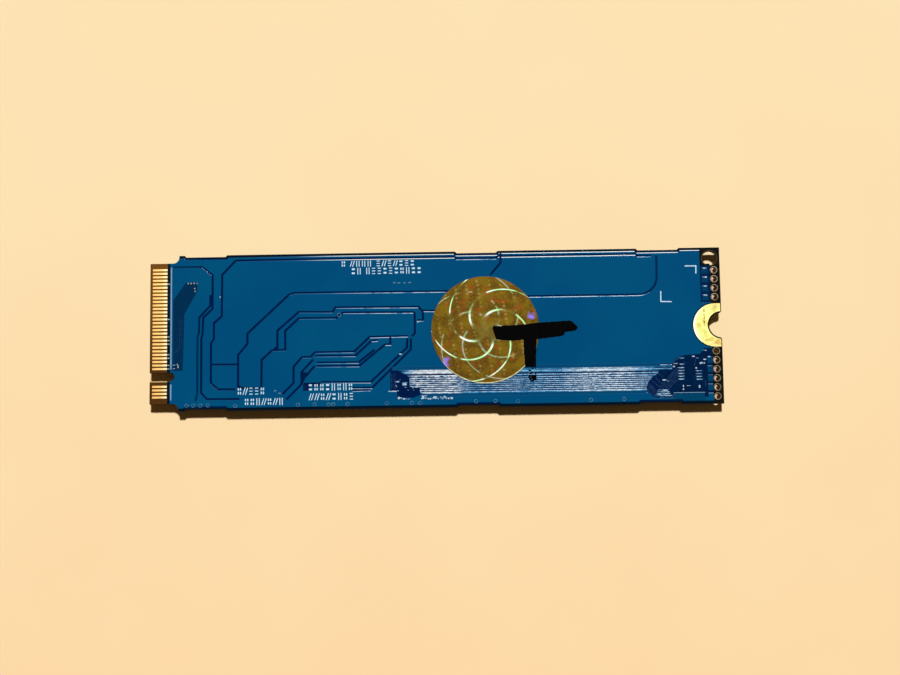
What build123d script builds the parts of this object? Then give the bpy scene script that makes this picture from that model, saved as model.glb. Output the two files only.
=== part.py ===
from build123d import *
import os

# A solid state drive card of the 22 by 80 mm form, lying bare side up on the packages of its component side.
# X runs from the card edge to the mounting end, Y across the card, Z up from the table. Lengths are in mm.

# Board outline
board_length = 80.0
board_width = 22.0
laminate_thickness = 0.68
tongue_length = 4.1
shoulder_step = 1.075
shoulder_radius = 0.9
edge_bevel_length = 0.25
edge_bevel_height = 0.16
key_offset = 6.125
key_width = 1.2
key_depth = 3.5
mount_notch_diameter = 3.5
mount_notch_easing = 0.3
tab_recess_length = 6.0
tab_recess_depth = 0.25
tab_from_front = 7.85
tab_from_middle = 5.9
tab_from_rear = 8.7
tooling_hole_diameter = 2.0
tooling_hole_from_rear = 1.43
tooling_hole_from_edge = 1.5

# Coats: copper under solder mask on both faces. Where there is no copper the mask lies lower.
copper_thickness = 0.035
mask_thickness = 0.025
channel_width = 0.34
channel_slope = 0.08
island_slope = 45.0
pour_setback = 0.42
front_strip_width = 0.36
rear_strip = 1.4
rear_corner_length = 2.75
rear_corner_width = 2.3
stub_zone_length = 2.8
edge_rail_start = 12.05
edge_rail_inset = 0.8
edge_rail_end_from_rear = 9.6
sweep_radius = 2.6
sweep_from_rear = 8.85
sweep_from_axis = 4.45
stub_length = 0.7
stub_width = 0.22
comb_pitch = 0.4
comb_length = 0.95
stack_pitch = 0.26
stack_lengths = (2.5, 2.0, 1.75, 1.5)
test_land_length = 0.75
test_land_width = 0.95

# Card edge contacts, on a half-millimetre pitch that skips the key
contact_pitch = 0.5
contact_width = 0.35
contact_length = 2.05
contact_setback = 0.38
contact_side_margin = 0.45
contact_key_margin = 0.3
plating_thickness = 0.045
plating_gap = 0.05

# Mounting pad and plated test holes
mount_pad_diameter = 6.1
mount_pad_setback = 0.9
mount_pad_notch_margin = 0.2
mount_pad_rear_margin = 0.12
test_hole_diameter = 0.8
test_barrel_wall = 0.05
test_ring_diameter = 1.08
test_hole_pitch = 1.27
test_hole_from_rear = 0.86
test_upper_from_pad = 0.4
test_lower_from_pad = 0.05
test_row_margin = 0.4
small_hole_sides = 10
barrel_clearance = 0.01

# Sticker
sticker_diameter = 15.1
sticker_thickness = 0.1
sticker_from_front = 47.0
sticker_from_axis = -0.18

# Bus of parallel traces between the controller and the outer flash package
bus_from_edge = 1.75
bus_steps = (0.47,) + 6 * (0.28,) + (0.3, 0.4, 0.48, 0.5)
bus_channel_width = 0.2
bus_channel_slope = 0.07
bus_split_row = 9
bus_split_width = 0.3
# Groups of rows, lowest first: rows, start before the controller's middle, end past the outer flash's
bus_groups = ((4, 0.6, -0.35), (4, 2.2, 0.3), (2, 3.75, 1.25), (2, 3.95, 3.25))

# Packages of the component side, in a row along the card
front_margin = 5.1
rear_margin = 4.5
power_zone_length = 12.0
package_height = 1.0
ball_height = 0.25
ball_width = 0.35
ball_rows = 1
ball_edge = 0.75
controller_size = 10.0
controller_ball_pitch = 0.8
buffer_length = 7.5
buffer_width = 11.0
buffer_height = 0.85
buffer_ball_pitch = 0.8
flash_length = 11.5
flash_width = 13.5
flash_ball_pitch = 1.0
index_dimple_diameter = 0.8
index_dimple_depth = 0.05
index_dimple_inset = 1.0
package_edge = 0.06

# Leadless packages: lead frame on the board, moulding over it
frame_thickness = 0.15
terminal_length = 0.4
terminal_width = 0.25
manager_size = 4.0
manager_height = 0.85
manager_terminals = 5
manager_terminal_pitch = 0.65
manager_pad = 2.4
boot_length = 3.0
boot_width = 2.0
boot_height = 0.6
boot_terminals = 4
boot_terminal_pitch = 0.5
boot_pad_length = 1.6
boot_pad_width = 0.9

# Load switch with gull-wing leads
switch_length = 2.9
switch_width = 1.6
switch_height = 0.9
switch_standoff = 0.05
switch_lead_pitch = 0.95
switch_lead_width = 0.4
switch_lead_thickness = 0.13
switch_lead_reach = 0.6
switch_lead_foot = 0.35

# Power inductors and crystal
inductor_length = 2.5
inductor_width = 2.0
inductor_height = 1.1
inductor_terminal_length = 0.5
inductor_terminal_thickness = 0.1
inductor_edge = 0.15
crystal_length = 2.5
crystal_width = 2.0
crystal_base_height = 0.4
crystal_lid_height = 0.15
crystal_lid_inset = 0.15
crystal_corner = 0.25

# Two-terminal chips: length, width, height and end cap length
coupling_chip = (0.6, 0.3, 0.3, 0.15)
small_chip = (1.0, 0.5, 0.5, 0.25)
resistor_chip = (1.0, 0.5, 0.35, 0.2)
middle_chip = (1.6, 0.8, 0.8, 0.3)
bulk_chip = (2.0, 1.25, 1.0, 0.4)
cap_lap = 0.02
chip_gap = 0.35
coupling_pitch = 1.0
coupling_count = 8
coupling_from_zone_front = 0.4
decoupling_pitch = 3.4
resistor_pitch = 1.1
resistor_count = 5
resistor_shift = 1.4

# Lines and levels that the rest is set out from
front, rear = -board_length / 2, board_length / 2
top, bottom = board_width / 2, -board_width / 2
tongue_half = board_width / 2 - shoulder_step
shoulder_x = front + tongue_length
coat_thickness = copper_thickness + mask_thickness
seat_z = package_height + ball_height
laminate_low = seat_z + coat_thickness
laminate_high = laminate_low + laminate_thickness
coat_top = laminate_high + coat_thickness
mask_front_x = front + contact_setback + contact_length + plating_gap
pour_front_x = mask_front_x + front_strip_width
sticker_x = front + sticker_from_front
tooling_y = top - tooling_hole_from_edge
overcut = copper_thickness
UPRIGHT = (Align.CENTER, Align.CENTER, Align.MIN)

# Row of packages: equal gaps share out the length that they leave over
row_start = front + front_margin
row_lengths = [power_zone_length, buffer_length, controller_size, flash_length, flash_length]
row_gap = (rear - rear_margin - row_start - sum(row_lengths)) / (len(row_lengths) - 1)
row_centres = []
row_cursor = row_start
for row_length in row_lengths:
    row_centres.append(row_cursor + row_length / 2)
    row_cursor += row_length + row_gap
power_x, buffer_x, controller_x, inner_flash_x, outer_flash_x = row_centres


# Board outline

def near(a, b):
    return abs(a - b) < 1e-6


def long_edge(side, inset=0.0):
    """Points along one long edge, from shoulder to mounting end, dipping where the panel tabs were."""
    line = side * (board_width / 2 - inset)
    dip = line - side * tab_recess_depth
    half = tab_recess_length / 2
    points = [(shoulder_x, line)]
    for centre in (front + tab_from_front, tab_from_middle, rear - tab_from_rear):
        points += [(centre - half, line), (centre - half + tab_recess_depth, dip)]
        points += [(centre + half - tab_recess_depth, dip), (centre + half, line)]
    return points + [(rear, line)]


def key_notch():
    """Round-ended slot in the card edge."""
    straight = key_depth - key_width / 2
    slot = Rectangle(2 * straight, key_width) + Pos(straight, 0) * Circle(key_width / 2)
    return Pos(front, -key_offset) * slot


def board_face():
    """Outline of the card with key notch and half-round mounting notch, before its round holes."""
    tongue_upper = [(shoulder_x, tongue_half), (front, tongue_half)]
    tongue_lower = [(front, -tongue_half), (shoulder_x, -tongue_half)]
    corners = tongue_lower + long_edge(-1) + long_edge(1)[::-1] + tongue_upper
    face = make_face(Polyline(*corners, close=True))
    inner = [v for v in face.vertices() if near(v.X, shoulder_x) and near(abs(v.Y), tongue_half)]
    face = fillet(inner, shoulder_radius)
    face -= key_notch()
    face -= Pos(rear, 0) * Circle(mount_notch_diameter / 2)
    mouth = [v for v in face.vertices() if near(v.X, rear) and abs(v.Y) < mount_notch_diameter]
    return fillet(mouth, mount_notch_easing)


def test_hole_places():
    """Plated hole centres: as many as fit from the pad out to the tooling hole and the lower edge."""
    x = rear - test_hole_from_rear
    upper = (mount_pad_diameter + test_ring_diameter) / 2 + test_upper_from_pad
    upper_end = tooling_y - (tooling_hole_diameter + test_ring_diameter) / 2
    lower = -(mount_pad_diameter + test_ring_diameter) / 2 - test_lower_from_pad
    lower_end = bottom + test_row_margin + test_ring_diameter / 2
    upper_count = int((upper_end - upper) / test_hole_pitch) + 1
    lower_count = int((lower - lower_end) / test_hole_pitch) + 1
    places = [(x, upper + i * test_hole_pitch) for i in range(upper_count)]
    return places + [(x, lower - i * test_hole_pitch) for i in range(lower_count)]


def small_round(diameter):
    """Facetted round for small plated holes, rings and dimples, which come in numbers."""
    return RegularPolygon(diameter / 2, small_hole_sides)


def mount_pad_face(grow=0.0):
    """C-shaped pad round the mounting notch, its sides running straight to the end of the card."""
    radius = mount_pad_diameter / 2 + grow
    centre_x = rear - mount_pad_setback
    strip = Pos(centre_x + mount_pad_setback / 2, 0) * Rectangle(mount_pad_setback, 2 * radius)
    return outline & (Pos(centre_x, 0) * Circle(radius) + strip)


outline = board_face()
test_places = test_hole_places()
barrel_diameter = test_hole_diameter + 2 * test_barrel_wall


def board_laminate():
    """Glass-fibre core with a bevelled card edge."""
    drill = small_round(barrel_diameter + 2 * barrel_clearance)
    drilled = outline - [Pos(x, y) * drill for x, y in test_places]
    drilled -= Pos(rear - tooling_hole_from_rear, tooling_y) * Circle(tooling_hole_diameter / 2)
    core = Pos(0, 0, laminate_low) * extrude(drilled, laminate_thickness)
    front_face = core.faces().sort_by(Axis.X)[0:2]
    for lip in [e for face in front_face for e in face.edges().filter_by(Axis.Y)]:
        core -= bevel_tool(lip)
    return core


def bevel_tool(lip):
    """Wedge that bevels one lip of the card edge."""
    middle = lip @ 0.5
    away = 1 if middle.Z > laminate_low + laminate_thickness / 2 else -1
    wedge = make_face(Polyline((0, 0), (edge_bevel_length, 0), (0, -away * edge_bevel_height), close=True))
    plane = Plane((front, middle.Y, middle.Z), x_dir=(1, 0, 0), z_dir=(0, -1, 0))
    return extrude(plane * wedge, lip.length / 2, both=True)


# Coats

def coat_face():
    """Area under solder mask: it stops behind the contacts and short of the plated holes and the pad."""
    front_zone = Pos(front, 0) * Rectangle(2 * (mask_front_x - front), board_width)
    rear_zone = Pos(rear, 0) * Rectangle(2 * rear_strip, board_width)
    corner_zone = Pos(rear, top) * Rectangle(2 * rear_corner_length, 2 * rear_corner_width)
    return outline - front_zone - rear_zone - corner_zone - mount_pad_face(plating_gap)


def channel(route, width=channel_width, slope=channel_slope, rounding=None):
    """Tool for a channel between copper areas: flat floor, sloped sides, along a route of straight runs."""
    points = [(x, y, coat_top) for x, y in route]
    path = FilletPolyline(*points, radius=rounding) if rounding else Polyline(*points)
    lift = slope * overcut / copper_thickness
    brim, floor = width / 2 + lift, width / 2 - slope
    section = make_face(Polyline(
        (-brim, overcut), (-floor, -copper_thickness), (floor, -copper_thickness), (brim, overcut), close=True
    ))
    across = Vector(0, 0, 1).cross(path % 0)
    plane = Plane(path @ 0, x_dir=across, z_dir=path % 0)
    return sweep(plane * section, path, transition=Transition.RIGHT)


def recess(corners, islands=()):
    """Tool for an area with no copper under the mask. Each island (x, y, length, width) keeps its copper."""
    floor_z = coat_top - copper_thickness
    depth = copper_thickness + overcut
    area = make_face(Polyline(*corners, close=True))
    tool = Pos(0, 0, floor_z) * extrude(area, depth)
    for x, y, length, width in islands:
        tool -= Pos(x, y, floor_z) * extrude(Rectangle(length, width), depth, taper=island_slope)
    return tool


def pour_channels():
    """Gaps between the copper areas of the upper face, one route per gap."""
    supply_edge = [
        (front + 3.2, top - 1.65), (front + 7.3, top - 1.65), (front + 8.8, top - 2.85), (front + 8.8, 3.4),
        (front + 7.5, 2.15), (front + 7.4, -0.2), (front + 7.25, -0.75), (front + 7.25, bottom + 2.55),
        (front + 8.05, bottom + 1.65), (front + 12.6, bottom + 1.6),
    ]
    supply_twin = [
        (front + 8.5, 5.35), (front + 8.5, 3.85), (front + 6.95, 2.2), (front + 6.9, 0.05),
        (front + 6.7, -0.5), (front + 6.7, bottom + 2.45), (front + 6.45, bottom + 1.4),
    ]
    first_rail = [
        (front + edge_rail_start, top - edge_rail_inset), (front + 10.15, top - 2.8), (front + 10.1, 2.3),
        (front + 9.0, 1.35), (front + 9.0, -0.9), (front + 8.6, -1.5), (front + 8.6, bottom + 3.9),
        (front + 9.6, bottom + 3.0), (front + 12.0, bottom + 2.95),
    ]
    second_rail = [
        (sticker_x - 4.0, 5.35), (front + 20.3, 5.45), (front + 19.5, 5.2), (front + 13.7, -0.2),
        (front + 13.7, -1.65), (front + 12.4, -3.2), (front + 12.4, bottom + 3.45),
        (front + 12.65, bottom + 3.15), (front + 15.7, bottom + 3.1),
    ]
    third_rail = [
        (front + 37.5, 1.3), (front + 38.3, 1.3), (front + 38.3, 2.55), (front + 37.7, 3.2),
        (front + 26.05, 3.3), (front + 25.6, 2.65), (front + 20.9, 2.75), (front + 17.9, 0.15),
        (front + 17.9, -2.6),
    ]
    third_twin = [
        (front + 36.7, -0.95), (front + 37.15, -0.5), (front + 37.15, 2.3), (front + 37.0, 2.45),
        (front + 27.1, 2.55), (front + 26.1, 1.8), (front + 20.9, 1.85), (front + 19.0, 0.1),
        (front + 19.0, -2.6),
    ]
    third_foot = [
        (front + 19.1, -2.6), (front + 17.15, -2.6), (front + 15.7, -3.95), (front + 15.65, bottom + 3.3),
    ]
    fourth_rail = [
        (front + 23.15, -3.0), (front + 22.5, -3.65), (front + 21.3, -3.65), (front + 20.15, -5.0),
        (front + 20.15, bottom + 3.75), (front + 18.6, bottom + 2.2),
    ]
    fourth_twin = [
        (front + 23.1, -4.9), (front + 21.7, -6.5), (front + 21.2, bottom + 3.5),
        (front + 19.15, bottom + 1.45),
    ]
    pair_one = [(front + 23.15, -3.0), (front + 28.6, -3.0), (front + 30.8, -0.95), (front + 36.15, -0.9)]
    pair_one_twin = [
        (front + 23.2, -3.5), (front + 28.8, -3.55), (front + 31.05, -1.5), (front + 32.0, -1.45),
    ]
    pair_two = [(front + 23.4, -4.45), (front + 29.2, -4.5), (front + 31.5, -2.75)]
    pair_two_twin = [
        (front + 23.4, -4.95), (front + 29.3, -5.0), (front + 32.95, -2.05), (front + 33.7, -2.05),
        (front + 33.7, -1.0),
    ]
    pair_three = [
        (front + 36.1, -1.25), (front + 36.0, -2.55), (front + 30.9, bottom + 3.7),
        (front + 24.0, bottom + 3.8),
    ]
    pair_three_twin = [
        (front + 36.6, -1.25), (front + 36.55, -2.8), (front + 31.1, bottom + 2.9),
        (front + 28.35, bottom + 2.95),
    ]
    branches = [
        [(front + 8.6, -4.5), (front + 12.4, -4.55)],
        [(front + 38.3, 2.65), (sticker_x - 6.0, 2.6)],
        [(front + 30.9, bottom + 2.6), (front + 28.35, bottom + 2.55)],
        [(front + 22.9, -4.0), (front + 21.3, -5.7)],
    ]
    sticker_stub = [(sticker_x + 2.3, top), (sticker_x + 2.3, top - 1.7), (sticker_x + 0.85, top - 3.4)]
    routes = [supply_edge, supply_twin, first_rail, second_rail, third_rail, third_twin, third_foot]
    routes += [fourth_rail, fourth_twin, pair_one, pair_one_twin, pair_two, pair_two_twin]
    routes += [pair_three, pair_three_twin, sticker_stub] + branches
    return [channel(route) for route in routes]


def edge_channels():
    """Copper held back along both long edges, and the thin rail that follows the upper one."""
    rail_start, rail_end = front + edge_rail_start, rear - edge_rail_end_from_rear
    rail = [(x, y) for x, y in long_edge(1, edge_rail_inset) if rail_start < x < rail_end]
    rail = [(rail_start, top - edge_rail_inset)] + rail + [(rail_end, rail[-1][1])]
    sweep_x = rear - sweep_from_rear
    sweep_start = (sticker_x + 4.0, sweep_from_axis)
    sweep_round = [sweep_start, (sweep_x, sweep_from_axis), (sweep_x, rail[-1][1])]
    borders = [channel(long_edge(side), 2 * pour_setback) for side in (-1, 1)]
    return borders + [channel(rail), channel(sweep_round, rounding=sweep_radius)]


def bus_channels():
    """Gaps between the parallel bus traces, in groups that end one after another where the traces fan out."""
    ends = [(before, past) for count, before, past in bus_groups for _ in range(count)]
    tools = []
    y = bottom + bus_from_edge
    for row, (before, past) in enumerate(ends):
        width = bus_split_width if row == bus_split_row else bus_channel_width
        route = [(controller_x - before, y), (outer_flash_x + past, y)]
        tools.append(channel(route, width, bus_channel_slope))
        y += (bus_steps + (0.0,))[row]
    return tools


def bare_areas():
    """Areas with no copper under the mask: behind the contacts, at the fan-outs and at the mounting end."""
    contact_side = [
        (front + 3.3, -5.3), (front + 4.65, -5.3), (front + 4.85, 2.7), (front + 6.65, 5.9),
        (front + 6.65, 7.2), (front + 5.05, 7.15), (front + 3.3, 4.7),
    ]
    strip = [
        (mask_front_x, bottom), (pour_front_x, bottom), (pour_front_x, top), (mask_front_x, top),
    ]
    rail_corner = [(front + 12.3, -7.2), (front + 13.2, -7.95), (front + 12.3, -7.95)]
    foot_corner = [(front + 17.1, -2.7), (front + 18.05, -2.7), (front + 18.05, -1.9), (front + 17.55, -2.2)]
    wedge = [
        (front + 21.1, -5.65), (front + 22.05, -5.85), (front + 22.3, -6.1), (front + 21.45, -6.95),
        (front + 21.1, -7.4),
    ]
    pair_start = [
        (front + 21.5, bottom + 3.75), (front + 24.0, bottom + 3.75), (front + 24.0, bottom + 3.25),
        (front + 22.4, bottom + 3.2), (front + 22.4, bottom + 2.65), (front + 21.45, bottom + 2.6),
    ]
    stub_zone = [
        (rear - stub_zone_length, 3.2), (rear, 3.2), (rear, top), (rear - stub_zone_length, top),
    ]
    near_x = controller_x
    near_fan = [
        (near_x - 4.9, bottom + 5.25), (near_x - 4.0, bottom + 5.4), (near_x - 2.6, bottom + 4.6),
        (near_x - 2.25, bottom + 4.3), (near_x - 2.2, bottom + 3.0), (near_x - 0.8, bottom + 2.75),
        (near_x - 0.7, bottom + 1.8), (near_x - 1.75, bottom + 1.4), (near_x - 4.0, bottom + 1.45),
        (near_x - 4.0, bottom + 2.45), (near_x - 4.9, bottom + 2.45),
    ]
    near_islands = [
        (near_x - 2.9, bottom + 3.35, 0.75, 0.5), (near_x - 3.95, bottom + 3.65, 0.65, stub_width),
    ]
    far_x = outer_flash_x
    far_fan = [
        (far_x - 0.45, bottom + 1.95), (far_x + 0.6, bottom + 0.9), (rear, bottom + 0.9),
        (rear, bottom + 7.75), (rear - 2.6, bottom + 7.75), (rear - 3.1, bottom + 6.95),
        (rear - 5.4, bottom + 6.8), (rear - 6.6, bottom + 6.3), (rear - 7.1, bottom + 5.6),
        (rear - 7.1, bottom + 4.85), (far_x + 1.3, bottom + 4.8), (far_x + 1.15, bottom + 4.3),
        (far_x + 0.3, bottom + 3.7), (far_x - 0.2, bottom + 3.1), (far_x - 0.4, bottom + 2.6),
    ]
    far_islands = [(rear - 4.8, bottom + 1.2, 4.4, 0.8)]
    far_islands += [(rear - 5.85, bottom + 3.4 + i * comb_pitch, comb_length, stub_width) for i in range(5)]
    far_islands += [(rear - 5.7, y, stub_length, stub_width) for y in (bottom + 5.5, bottom + 6.35)]
    far_islands += [(rear - 3.35, bottom + 3.35 + i * comb_pitch, comb_length, stub_width) for i in range(4)]
    for i, length in enumerate(stack_lengths):
        far_islands.append((far_x + 1.85, bottom + 1.15 + i * stack_pitch, length, stub_width))
    far_islands += [(rear - 1.8, y, test_land_length, test_land_width) for x, y in test_places if y < -4]
    trace_stubs = [(rear - 2.2, y + stub_width, stub_length, stub_width) for x, y in test_places if y > 0]
    plain = [contact_side, strip, rail_corner, foot_corner, wedge, pair_start]
    return [recess(area) for area in plain] + [
        recess(stub_zone, trace_stubs), recess(near_fan, near_islands), recess(far_fan, far_islands),
    ]


def solder_mask_upper():
    """Blue coat of the bare side, with the relief of the copper under it."""
    sheet = Pos(0, 0, laminate_high) * extrude(coat_face(), coat_thickness)
    return sheet - pour_channels() - edge_channels() - bus_channels() - bare_areas()


def solder_mask_lower():
    """Coat of the component side."""
    return Pos(0, 0, seat_z) * extrude(coat_face(), coat_thickness)


# Bare plated copper

def edge_contacts(first_y, base_z):
    """Plated fingers at every pitch that fits the tongue and stays clear of the key."""
    reach = tongue_half - contact_side_margin - contact_width / 2
    clear = key_width / 2 + contact_key_margin + contact_width / 2
    count = int(2 * reach / contact_pitch) + 2
    places = [first_y + (i - count // 2) * contact_pitch for i in range(count + 1)]
    x = front + contact_setback + contact_length / 2
    finger = Box(contact_length, contact_width, plating_thickness, align=UPRIGHT)
    return [Pos(x, y, base_z) * finger for y in places if abs(y) <= reach and abs(y + key_offset) > clear]


def mounting_pad(base_z):
    """Pad for the screw head, held back a little from the notch and from the end of the card."""
    notch = Pos(rear, 0) * Circle(mount_notch_diameter / 2 + mount_pad_notch_margin)
    end = Pos(rear, 0) * Rectangle(2 * mount_pad_rear_margin, board_width)
    return Pos(0, 0, base_z) * extrude(mount_pad_face() - notch - end, plating_thickness)


def test_hole_sleeves():
    """Copper barrels through the card with a ring on each face."""
    bore = small_round(test_hole_diameter)
    ring = extrude(small_round(test_ring_diameter) - bore, plating_thickness)
    barrel = extrude(small_round(barrel_diameter) - bore, laminate_thickness)
    sleeve = Pos(0, 0, -plating_thickness) * ring + barrel + Pos(0, 0, laminate_thickness) * ring
    return [Pos(x, y, laminate_low) * sleeve for x, y in test_places]


def foil_sticker():
    disc = Cylinder(sticker_diameter / 2, sticker_thickness, align=UPRIGHT)
    return Pos(sticker_x, sticker_from_axis, coat_top) * disc


# Component side. Each piece is made standing on z = 0 and turned over onto the card's lower face.

def seat(x, y, turn=0):
    return Pos(x, y, seat_z) * Rot(180, 0, turn)


def block(length, width, height, base=0.0):
    return Pos(0, 0, base) * Box(length, width, height, align=UPRIGHT)


def ball_package(length, width, height):
    """Moulded package that stands on its solder balls, with an index dimple in one corner."""
    body = block(length, width, height, ball_height)
    crown = body.faces().sort_by(Axis.Z)[-1]
    body = chamfer(crown.edges(), package_edge)
    corner = (index_dimple_inset - length / 2, index_dimple_inset - width / 2, ball_height + height)
    dimple = extrude(small_round(index_dimple_diameter), index_dimple_depth, both=True)
    return body - Pos(*corner) * dimple


def solder_balls(length, width, pitch):
    """Outer rows of the ball grid under a package."""
    columns = int((length - 2 * ball_edge) / pitch) + 1
    rows = int((width - 2 * ball_edge) / pitch) + 1
    half_x, half_y = (columns - 1) * pitch / 2, (rows - 1) * pitch / 2
    ball = block(ball_width, ball_width, ball_height)
    places = [place.position for place in GridLocations(pitch, pitch, columns, rows)]
    depth = (ball_rows - 0.5) * pitch
    return [Pos(p.X, p.Y) * ball for p in places if half_x - abs(p.X) < depth or half_y - abs(p.Y) < depth]


def leadless_package(length, width, height):
    body = block(length, width, height - frame_thickness, frame_thickness)
    return chamfer(body.faces().sort_by(Axis.Z)[-1].edges(), package_edge)


def side_terminals(half_span, count, pitch):
    """Row of terminals under one side, flush with the moulding at y = half_span."""
    terminal = block(terminal_width, terminal_length, frame_thickness)
    y = half_span - terminal_length / 2
    return [Pos((i - (count - 1) / 2) * pitch, y) * terminal for i in range(count)]


def manager_frame():
    """Terminals on four sides and the heat pad of the power manager."""
    row = side_terminals(manager_size / 2, manager_terminals, manager_terminal_pitch)
    ring = [Rot(0, 0, turn) * terminal for turn in (0, 90, 180, 270) for terminal in row]
    return ring + [block(manager_pad, manager_pad, frame_thickness)]


def boot_frame():
    """Terminals on two sides and the heat pad of the boot memory."""
    row = side_terminals(boot_width / 2, boot_terminals, boot_terminal_pitch)
    both = [Rot(0, 0, turn) * terminal for turn in (0, 180) for terminal in row]
    return both + [block(boot_pad_length, boot_pad_width, frame_thickness)]


def switch_leads():
    """Gull-wing leads: out of the body side, down and out along the board."""
    side, thick = switch_width / 2, switch_lead_thickness
    neck = switch_height / 2
    knee, toe = side + switch_lead_reach - switch_lead_foot, side + switch_lead_reach
    profile = make_face(Plane.YZ * Polyline(
        (side, neck), (knee, neck), (knee, thick), (toe, thick), (toe, 0), (knee - thick, 0),
        (knee - thick, neck - thick), (side, neck - thick), close=True
    ))
    lead = extrude(profile, switch_lead_width / 2, both=True)
    return [Rot(0, 0, turn) * Pos(i * switch_lead_pitch) * lead for turn in (0, 180) for i in (-1, 0, 1)]


def switch_body():
    body = block(switch_length, switch_width, switch_height - switch_standoff, switch_standoff)
    return chamfer(body.faces().sort_by(Axis.Z)[-1].edges(), package_edge)


def inductor_body():
    raised = inductor_height - inductor_terminal_thickness
    body = block(inductor_length, inductor_width, raised, inductor_terminal_thickness)
    return chamfer(body.edges().filter_by(Axis.Z) + body.faces().sort_by(Axis.Z)[-1].edges(), inductor_edge)


def inductor_terminals():
    """Plates under both ends, inside the chamfered corners."""
    width = inductor_width - 2 * inductor_edge
    plate = block(inductor_terminal_length, width, inductor_terminal_thickness)
    reach = (inductor_length - inductor_terminal_length) / 2
    return [Pos(side * reach) * plate for side in (-1, 1)]


def crystal_lid():
    """Metal lid with cut corners on the ceramic base."""
    length, width = crystal_length - 2 * crystal_lid_inset, crystal_width - 2 * crystal_lid_inset
    lid = block(length, width, crystal_lid_height, crystal_base_height)
    return chamfer(lid.edges().filter_by(Axis.Z), crystal_corner)


def chip_body(size):
    """Ceramic block between the end caps, a little slimmer than they are."""
    length, width, height, cap = size
    return block(length - 2 * cap, width - 2 * cap_lap, height - 2 * cap_lap, cap_lap)


def chip_caps(size):
    length, width, height, cap = size
    return [Pos(side * (length - cap) / 2) * block(cap, width, height) for side in (-1, 1)]


def at_places(pieces, places):
    """Copies of the pieces, seated at each (x, y, turn)."""
    return [seat(*place) * piece for place in places for piece in pieces]


# Places of the small parts, beside the packages that they serve

def flank_places(centre_x, length, width):
    """Decoupling capacitors along both long-side edges of a package, as many as its length takes."""
    count = int(length / decoupling_pitch)
    offset = width / 2 + chip_gap + small_chip[1] / 2
    xs = [centre_x + (i - (count - 1) / 2) * decoupling_pitch for i in range(count)]
    return [(x, side * offset, 0) for side in (-1, 1) for x in xs]


coupling_x = power_x - power_zone_length / 2 + coupling_from_zone_front
coupling_places = [
    (coupling_x, (i - (coupling_count - 1) / 2) * coupling_pitch, 0) for i in range(coupling_count)
]
manager_place = [(power_x, 0)]
inductor_x = power_x + manager_size / 2 + chip_gap + inductor_length / 2
inductor_step = inductor_width + chip_gap + bulk_chip[1] + chip_gap
inductor_places = [(inductor_x, side * inductor_step, 0) for side in (-1, 0, 1)]
bulk_places = [(inductor_x, side * inductor_step / 2, 0) for side in (-1, 1)]
bulk_y = manager_size / 2 + chip_gap + bulk_chip[1] / 2
bulk_places += [(power_x, side * bulk_y, 0) for side in (-1, 1)]
switch_x = coupling_x + coupling_chip[0] / 2 + chip_gap + switch_width / 2 + switch_lead_reach
switch_y = bulk_y + bulk_chip[1] / 2 + chip_gap + switch_length / 2
switch_place = [(switch_x, switch_y, 90)]
fuse_y = -switch_y
fuse_place = [(switch_x, fuse_y, 0)]
bead_step = middle_chip[1] + chip_gap
bead_places = [(switch_x, fuse_y + i * bead_step, 0) for i in (-1, 1)]
resistor_y = inductor_step + inductor_width / 2 + chip_gap + resistor_chip[0] / 2
resistor_places = [
    (power_x + resistor_shift + (i - (resistor_count - 1) / 2) * resistor_pitch, side * resistor_y, 90)
    for side in (-1, 1) for i in range(resistor_count)
]
beside_controller = controller_size / 2 + 2 * chip_gap + small_chip[1]
crystal_place = [(controller_x, beside_controller + crystal_width / 2)]
boot_place = [(controller_x, -beside_controller - boot_width / 2)]
package_places = [
    (buffer_x, buffer_length, buffer_width), (controller_x, controller_size, controller_size),
    (inner_flash_x, flash_length, flash_width), (outer_flash_x, flash_length, flash_width),
]
decoupling_places = [place for package in package_places for place in flank_places(*package)]


# Nodes

controller_balls = solder_balls(controller_size, controller_size, controller_ball_pitch)
buffer_balls = solder_balls(buffer_length, buffer_width, buffer_ball_pitch)
flash_grid = solder_balls(flash_length, flash_width, flash_ball_pitch)
controller_package = ball_package(controller_size, controller_size, package_height)
buffer_package = ball_package(buffer_length, buffer_width, buffer_height)
flash_package = ball_package(flash_length, flash_width, package_height)
manager_package = leadless_package(manager_size, manager_size, manager_height)

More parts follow.
